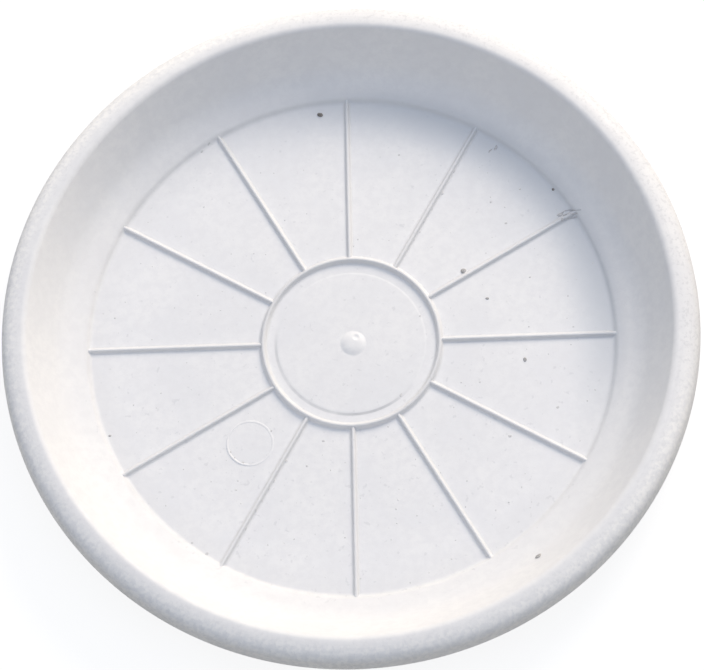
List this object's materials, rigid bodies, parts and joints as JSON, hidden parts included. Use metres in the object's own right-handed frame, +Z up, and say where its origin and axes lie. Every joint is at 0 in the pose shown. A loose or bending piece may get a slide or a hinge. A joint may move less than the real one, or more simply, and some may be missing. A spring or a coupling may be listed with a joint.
{
  "type": "plant saucer",
  "caption": "Round plastic plant saucer with radial ribs and a ring on its floor, a sloping wall and a rolled rim; a flower pot stands in it and it catches the water.",
  "frame": {"origin": "middle of the underside, on the plane that the foot ring stands on", "axes": "+Z up through the open top of the dish, +X along the middle of radial_rib_01"},
  "size_m": [0.25, 0.25, 0.026],
  "materials": {
    "white_plastic": "white polypropylene with a dull moulded sheen, faintly mottled and dusty from use"
  },
  "bodies": {
    "root": {"floor_plate": "white_plastic", "centre_panel": "white_plastic", "gate_nub": "white_plastic", "centre_ring": "white_plastic", "mould_mark": "white_plastic", "side_wall": "white_plastic", "rolled_rim": "white_plastic", "rim_skirt": "white_plastic", "foot_ring": "white_plastic", "radial_rib_01": "white_plastic", "radial_rib_02": "white_plastic", "radial_rib_03": "white_plastic", "radial_rib_04": "white_plastic", "radial_rib_05": "white_plastic", "radial_rib_06": "white_plastic", "radial_rib_07": "white_plastic", "radial_rib_08": "white_plastic", "radial_rib_09": "white_plastic", "radial_rib_10": "white_plastic", "radial_rib_11": "white_plastic", "radial_rib_12": "white_plastic"}
  },
  "joints": []
}
